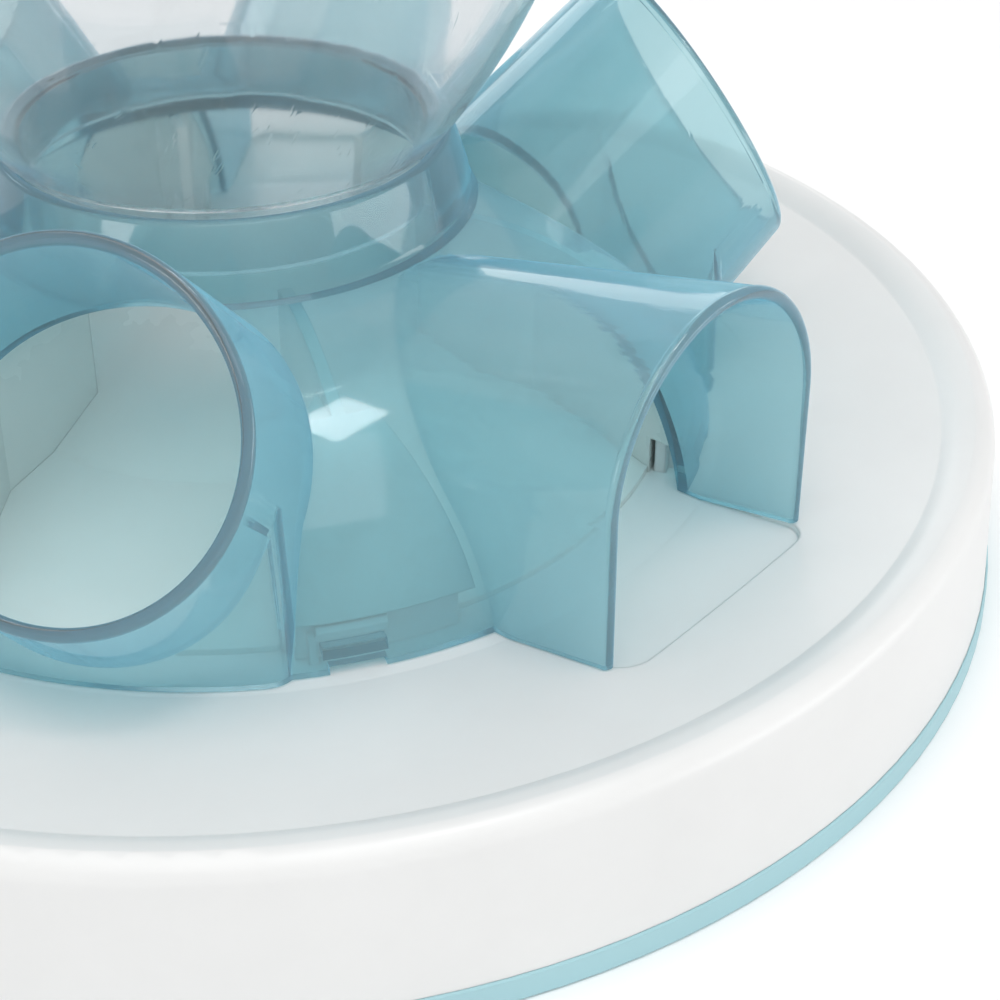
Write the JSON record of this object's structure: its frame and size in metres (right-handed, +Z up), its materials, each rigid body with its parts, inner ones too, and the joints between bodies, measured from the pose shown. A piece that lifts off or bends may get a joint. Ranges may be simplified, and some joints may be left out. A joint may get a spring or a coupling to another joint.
{
  "type": "cat tunnel feeder",
  "caption": "Round cat feeder: a white tray carries a translucent dome with paw tunnels round it, and a clear hopper above feeds them.",
  "frame": {"origin": "centre of the flat underside of the grip ring, where the feeder stands", "axes": "+Z up along the common axis of tray, dome and hopper; -Y towards the arched tunnel that is nearest to the camera in the picture; +X to its right"},
  "size_m": [0.304, 0.304, 0.2801],
  "materials": {
    "tray_white": "satin",
    "grip_rubber": "soft satin",
    "spreader_white": "satin",
    "screw_steel": "zinc",
    "petrol_clear": "polished, translucent",
    "hopper_clear": "polished, clear",
    "lid_white": "satin"
  },
  "bodies": {
    "base": {"base_tray": "tray_white", "grip_ring": "grip_rubber", "food_spreader": "spreader_white", "divider_1": "spreader_white", "divider_2": "spreader_white", "divider_3": "spreader_white", "divider_4": "spreader_white", "divider_5": "spreader_white", "divider_6": "spreader_white", "spreader_screw_1": "screw_steel", "spreader_screw_2": "screw_steel", "spreader_screw_3": "screw_steel"},
    "dome": {"dome_shell": "petrol_clear", "dome_neck": "petrol_clear", "arch_tunnel_1": "petrol_clear", "arch_tunnel_2": "petrol_clear", "arch_tunnel_3": "petrol_clear", "round_tunnel_1": "petrol_clear", "round_tunnel_2": "petrol_clear", "round_tunnel_3": "petrol_clear"},
    "hopper": {"hopper": "hopper_clear"},
    "lid": {"hopper_lid": "lid_white"}
  },
  "joints": [
    {"name": "dome_turn", "type": "hinge", "parent": "base", "child": "dome", "pos_m": [0, 0, 0], "axis": [0, 0, 1], "range_deg": [0, 12]},
    {"name": "hopper_lift", "type": "slide", "parent": "dome", "child": "hopper", "axis": [0, 0, 1], "range_m": [0, 0.06]},
    {"name": "lid_lift", "type": "slide", "parent": "hopper", "child": "lid", "axis": [0, 0, 1], "range_m": [0, 0.04]}
  ]
}
